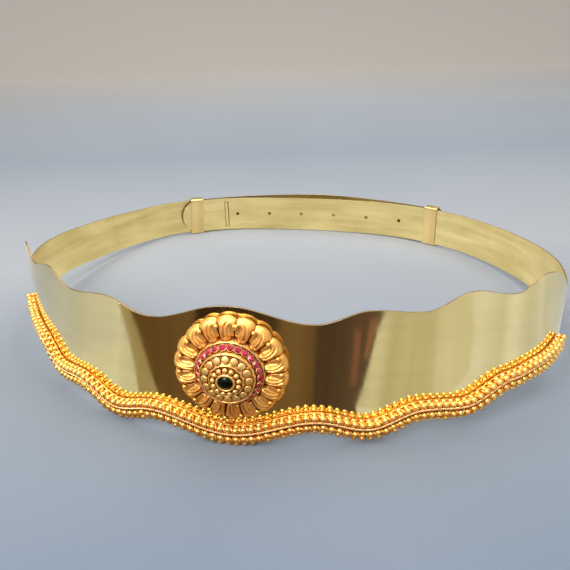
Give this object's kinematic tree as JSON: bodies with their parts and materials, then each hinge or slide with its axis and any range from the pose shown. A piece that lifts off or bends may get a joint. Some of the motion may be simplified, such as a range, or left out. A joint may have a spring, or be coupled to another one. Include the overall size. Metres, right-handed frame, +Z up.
{
  "type": "oddiyanam waist belt",
  "caption": "Polished brass waist belt with a wavy front plate, a stepped medallion set with stones, bead strands along the lower edge and an overlapping strap with keepers.",
  "frame": {"origin": "centre of the bounding box in plan, on the surface that the belt stands on", "axes": "+Z up, -Y towards the front plate and its medallion, +X along the width to the belt's left as worn"},
  "size_m": [0.2818, 0.2678, 0.0591],
  "materials": {
    "polished_brass": "mirror polished gold plate, softly brushed inside",
    "keeper_brass": "brushed gold plate",
    "bead_gold": "warm yellow gold plate, bright beads",
    "medallion_gold": "warm matte gold plate with bright edges",
    "ruby_pink": "cut pink-red stone",
    "dark_green_stone": "polished dark green dome"
  },
  "bodies": {
    "root": {"belt_sheet": "polished_brass", "left_keeper": "keeper_brass", "right_keeper": "keeper_brass", "clasp_tab": "keeper_brass", "trim_upper": "bead_gold", "trim_lower": "bead_gold", "medallion": "medallion_gold", "ruby_01": "ruby_pink", "ruby_02": "ruby_pink", "ruby_03": "ruby_pink", "ruby_04": "ruby_pink", "ruby_05": "ruby_pink", "ruby_06": "ruby_pink", "ruby_07": "ruby_pink", "ruby_08": "ruby_pink", "ruby_09": "ruby_pink", "ruby_10": "ruby_pink", "ruby_11": "ruby_pink", "ruby_12": "ruby_pink", "ruby_13": "ruby_pink", "ruby_14": "ruby_pink", "ruby_15": "ruby_pink", "ruby_16": "ruby_pink", "ruby_17": "ruby_pink", "ruby_18": "ruby_pink", "ruby_19": "ruby_pink", "ruby_20": "ruby_pink", "ruby_21": "ruby_pink", "ruby_22": "ruby_pink", "ruby_23": "ruby_pink", "ruby_24": "ruby_pink", "ruby_25": "ruby_pink", "ruby_26": "ruby_pink", "centre_stone": "dark_green_stone"}
  },
  "joints": []
}
